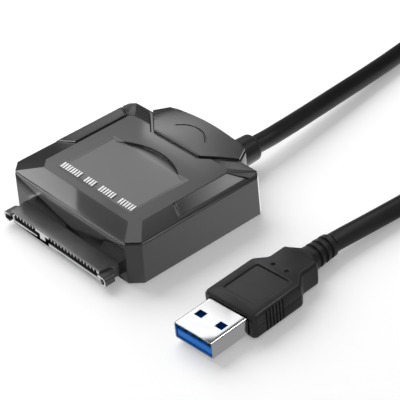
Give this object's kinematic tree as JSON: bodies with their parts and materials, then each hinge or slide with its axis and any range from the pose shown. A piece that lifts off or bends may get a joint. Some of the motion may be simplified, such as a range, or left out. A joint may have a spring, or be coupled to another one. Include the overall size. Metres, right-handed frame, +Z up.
{
  "type": "usb to sata adapter",
  "caption": "Dark grey plastic adapter with a combined SATA data and power receptacle at one end and a short black captive USB 3.0 type A lead at the other.",
  "frame": {"origin": "under the middle of the housing, on the flat underside that it stands on", "axes": "+X towards the side that the lead leaves from, +Y from the drive connector to the lead, +Z up from the underside to the cover"},
  "size_m": [0.0827, 0.1675, 0.0132],
  "materials": {
    "housing": "dark grey moulded plastic with a fine satin grain",
    "connector": "dark grey glass-filled connector plastic",
    "gold": "gold-plated contact",
    "steel": "bright nickel-plated steel",
    "board": "green solder mask",
    "chip": "black moulding resin",
    "ceramic": "tan ceramic with tinned ends",
    "ferrite": "grey ferrite",
    "moulding": "soft black moulded plastic with a fine grain",
    "jacket": "black lead jacket with a soft sheen",
    "wire": "coloured wire insulation",
    "blue": "blue insulator plastic"
  },
  "bodies": {
    "root": {"upper_shell": "housing", "lower_shell": "housing", "sata_housing": "connector", "signal_contact_1": "gold", "signal_contact_2": "gold", "signal_contact_3": "gold", "signal_contact_4": "gold", "signal_contact_5": "gold", "signal_contact_6": "gold", "signal_contact_7": "gold", "power_contact_1": "gold", "power_contact_2": "gold", "power_contact_3": "gold", "power_contact_4": "gold", "power_contact_5": "gold", "power_contact_6": "gold", "power_contact_7": "gold", "power_contact_8": "gold", "power_contact_9": "gold", "power_contact_10": "gold", "power_contact_11": "gold", "power_contact_12": "gold", "power_contact_13": "gold", "power_contact_14": "gold", "power_contact_15": "gold", "board_lock_right": "steel", "board_lock_left": "steel", "circuit_board": "board", "bridge_chip": "chip", "memory_chip": "chip", "voltage_regulator": "chip", "crystal": "steel", "power_inductor": "ferrite", "capacitor_1": "ceramic", "capacitor_2": "ceramic", "capacitor_3": "ceramic", "capacitor_4": "ceramic", "resistor_1": "chip", "resistor_2": "chip", "resistor_3": "chip", "cable_boot": "moulding", "power_wire": "wire", "data_pair": "wire", "transmit_pair": "wire", "receive_pair": "wire", "ground_wire": "wire", "cable": "jacket", "plug_overmould": "moulding", "plug_shell": "steel", "plug_insulator": "blue", "plug_pad_contact_1": "gold", "plug_pad_contact_2": "gold", "plug_pad_contact_3": "gold", "plug_pad_contact_4": "gold", "plug_spring_contact_1": "gold", "plug_spring_contact_2": "gold", "plug_spring_contact_3": "gold", "plug_spring_contact_4": "gold", "plug_spring_contact_5": "gold"}
  },
  "joints": []
}
